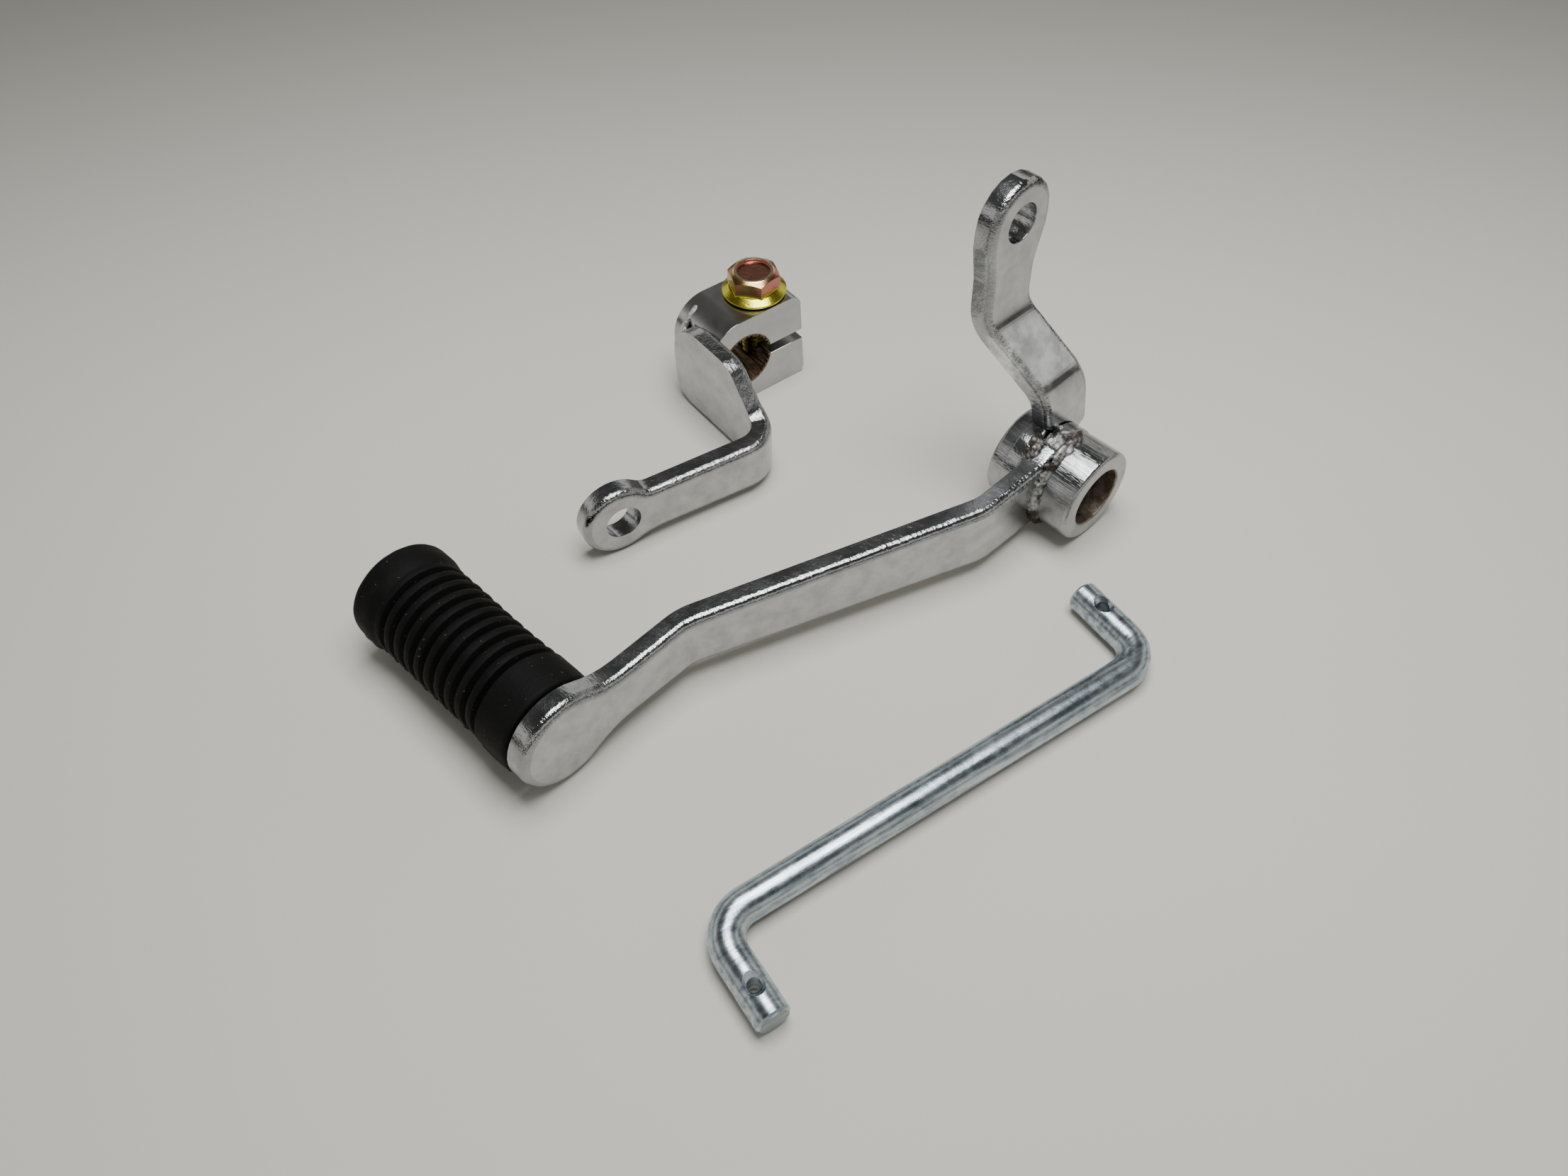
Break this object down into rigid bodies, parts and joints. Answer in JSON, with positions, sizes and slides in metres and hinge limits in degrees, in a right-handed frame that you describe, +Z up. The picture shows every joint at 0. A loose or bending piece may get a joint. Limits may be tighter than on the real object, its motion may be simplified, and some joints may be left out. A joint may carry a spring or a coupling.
{
  "type": "gear shift lever",
  "caption": "Foot gear shift lever with a rubber toe peg and cranked rocker arm, its splined clamp arm with pinch bolt, and a bent link rod.",
  "frame": {"origin": "centre of the kit's footprint, on the surface it lies on", "axes": "+X from the toe peg towards the pivot, +Y along the pivot axis from the bush's front face to its back face, +Z up"},
  "size_m": [0.129, 0.119, 0.0684],
  "materials": {
    "chrome_plate": "polished chrome plate over pressed and rolled steel",
    "plated_weld": "rough weld bead, plated and stained",
    "toe_rubber": "matte, ribbed, dusty",
    "yellow_zinc": "yellow passivated zinc with iridescent tints",
    "bright_zinc": "mottled bright zinc",
    "bare_steel": "plain steel"
  },
  "bodies": {
    "lever": {"lever_bar": "chrome_plate", "pivot_bush": "chrome_plate", "rear_collar": "chrome_plate", "rocker_arm": "chrome_plate", "bush_weld": "plated_weld", "rocker_weld": "plated_weld", "peg_pin": "bare_steel", "peg_weld": "plated_weld", "peg_rubber": "toe_rubber"},
    "clamp_arm": {"clamp_block": "chrome_plate", "shift_arm_strip": "chrome_plate", "arm_weld": "plated_weld"},
    "bolt": {"pinch_bolt": "yellow_zinc"},
    "rod": {"link_rod": "bright_zinc"}
  },
  "joints": [
    {"name": "clamp_arm_lift", "type": "slide", "parent": "lever", "child": "clamp_arm", "axis": [0, 0, 1], "range_m": [0, 0.06]},
    {"name": "rod_lift", "type": "slide", "parent": "lever", "child": "rod", "axis": [0, 0, 1], "range_m": [0, 0.06]},
    {"name": "bolt_out", "type": "slide", "parent": "clamp_arm", "child": "bolt", "axis": [0, 0, 1], "range_m": [0, 0.0215]}
  ]
}
